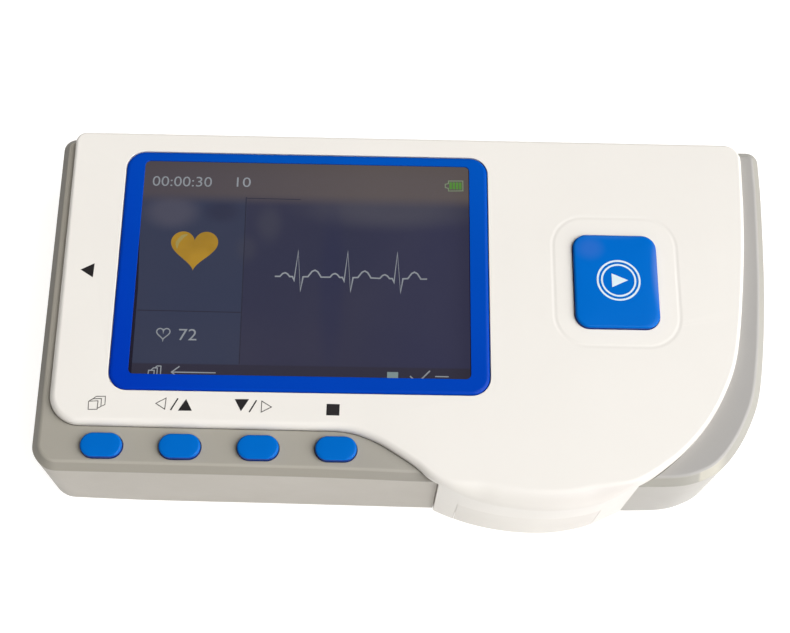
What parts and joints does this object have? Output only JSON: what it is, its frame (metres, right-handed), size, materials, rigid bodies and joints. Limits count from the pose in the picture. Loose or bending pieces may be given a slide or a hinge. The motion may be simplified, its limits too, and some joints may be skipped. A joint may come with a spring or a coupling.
{
  "type": "handheld ecg monitor",
  "caption": "Flat hand-held heart monitor with a framed colour screen, oval keys, a square start key and metal touch plates.",
  "frame": {"origin": "on the back face, under the middle of the whole outline", "axes": "+X along the case with the screen at -X and the start key at +X, +Y to the top edge, +Z out of the face"},
  "size_m": [0.126, 0.0672, 0.0213],
  "materials": {
    "cover_white": "smooth semi-gloss moulded ABS",
    "case_grey": "fine satin moulded ABS",
    "window_clear": "polished clear acrylic",
    "frame_blue": "gloss print under the window",
    "foam_black": "closed-cell foam",
    "display_dark": "display glass",
    "backlight_white": "diffuser",
    "tray_metal": "stamped tray",
    "flex_amber": "polyimide film",
    "connector_ivory": "moulded connector",
    "key_blue": "gloss moulded key",
    "switch_black": "moulded plunger",
    "switch_steel": "stamped switch frame",
    "board_green": "solder mask on glass laminate",
    "chip_black": "moulded epoxy",
    "tin_plate": "tin-plated sheet",
    "capacitor_tan": "fired ceramic",
    "flap_white": "soft satin elastomer",
    "cell_sleeve": "sleeved cell, plain with no print",
    "contact_nickel": "nickel-plated spring steel",
    "plate_steel": "brushed stainless touch plate",
    "contact_gold": "gold-plated spring",
    "lead_black": "insulated wire",
    "screw_steel": "zinc-plated screw"
  },
  "bodies": {
    "case": {"front_cover": "cover_white", "deck_frame": "case_grey", "rear_shell": "case_grey", "display_lens": "window_clear", "lens_border": "frame_blue", "display_gasket": "foam_black", "lcd_panel": "display_dark", "lcd_backlight": "backlight_white", "lcd_frame": "tray_metal", "lcd_flex": "flex_amber", "lcd_connector": "connector_ivory", "switch_bases": "switch_steel", "display_board": "board_green", "main_board": "board_green", "board_header": "chip_black", "processor_chip": "chip_black", "memory_chip": "chip_black", "shield_can": "tin_plate", "crystal": "tin_plate", "buzzer": "chip_black", "chip_capacitors": "capacitor_tan", "data_port": "tin_plate", "port_tongue": "chip_black", "cell_a": "cell_sleeve", "cell_b": "cell_sleeve", "battery_springs": "contact_nickel", "contact_link": "contact_nickel", "contact_terminals": "contact_nickel", "left_electrode": "plate_steel", "index_electrode": "plate_steel", "middle_electrode": "plate_steel", "finger_contacts": "contact_gold", "electrode_lead": "lead_black", "case_screws": "screw_steel", "display_screws": "screw_steel", "board_screws": "screw_steel"},
    "start_key": {"start_button": "key_blue", "start_plunger": "switch_black"},
    "menu_key": {"menu_button": "key_blue", "menu_plunger": "switch_black"},
    "left_up_key": {"left_up_button": "key_blue", "left_up_plunger": "switch_black"},
    "right_down_key": {"right_down_button": "key_blue", "right_down_plunger": "switch_black"},
    "stop_key": {"stop_button": "key_blue", "stop_plunger": "switch_black"},
    "door": {"battery_door": "case_grey"},
    "port_flap": {"port_cover": "flap_white"}
  },
  "joints": [
    {"name": "start_press", "type": "slide", "parent": "case", "child": "start_key", "axis": [0, 0, -1], "range_m": [0, 0.0006], "stiffness_N_per_m": 400, "springref_m": -0.001},
    {"name": "menu_press", "type": "slide", "parent": "case", "child": "menu_key", "axis": [0, 0, -1], "range_m": [0, 0.0006], "stiffness_N_per_m": 250, "springref_m": -0.001},
    {"name": "left_up_press", "type": "slide", "parent": "case", "child": "left_up_key", "axis": [0, 0, -1], "range_m": [0, 0.0006], "stiffness_N_per_m": 250, "springref_m": -0.001},
    {"name": "right_down_press", "type": "slide", "parent": "case", "child": "right_down_key", "axis": [0, 0, -1], "range_m": [0, 0.0006], "stiffness_N_per_m": 250, "springref_m": -0.001},
    {"name": "stop_press", "type": "slide", "parent": "case", "child": "stop_key", "axis": [0, 0, -1], "range_m": [0, 0.0006], "stiffness_N_per_m": 250, "springref_m": -0.001},
    {"name": "door_slide", "type": "slide", "parent": "case", "child": "door", "axis": [0, 1, 0], "range_m": [0, 0.026]},
    {"name": "flap_swing", "type": "hinge", "parent": "case", "child": "port_flap", "pos_m": [0.0324, -0.03189, 0.0058], "axis": [0, 0, 1], "range_deg": [0, 100]}
  ]
}
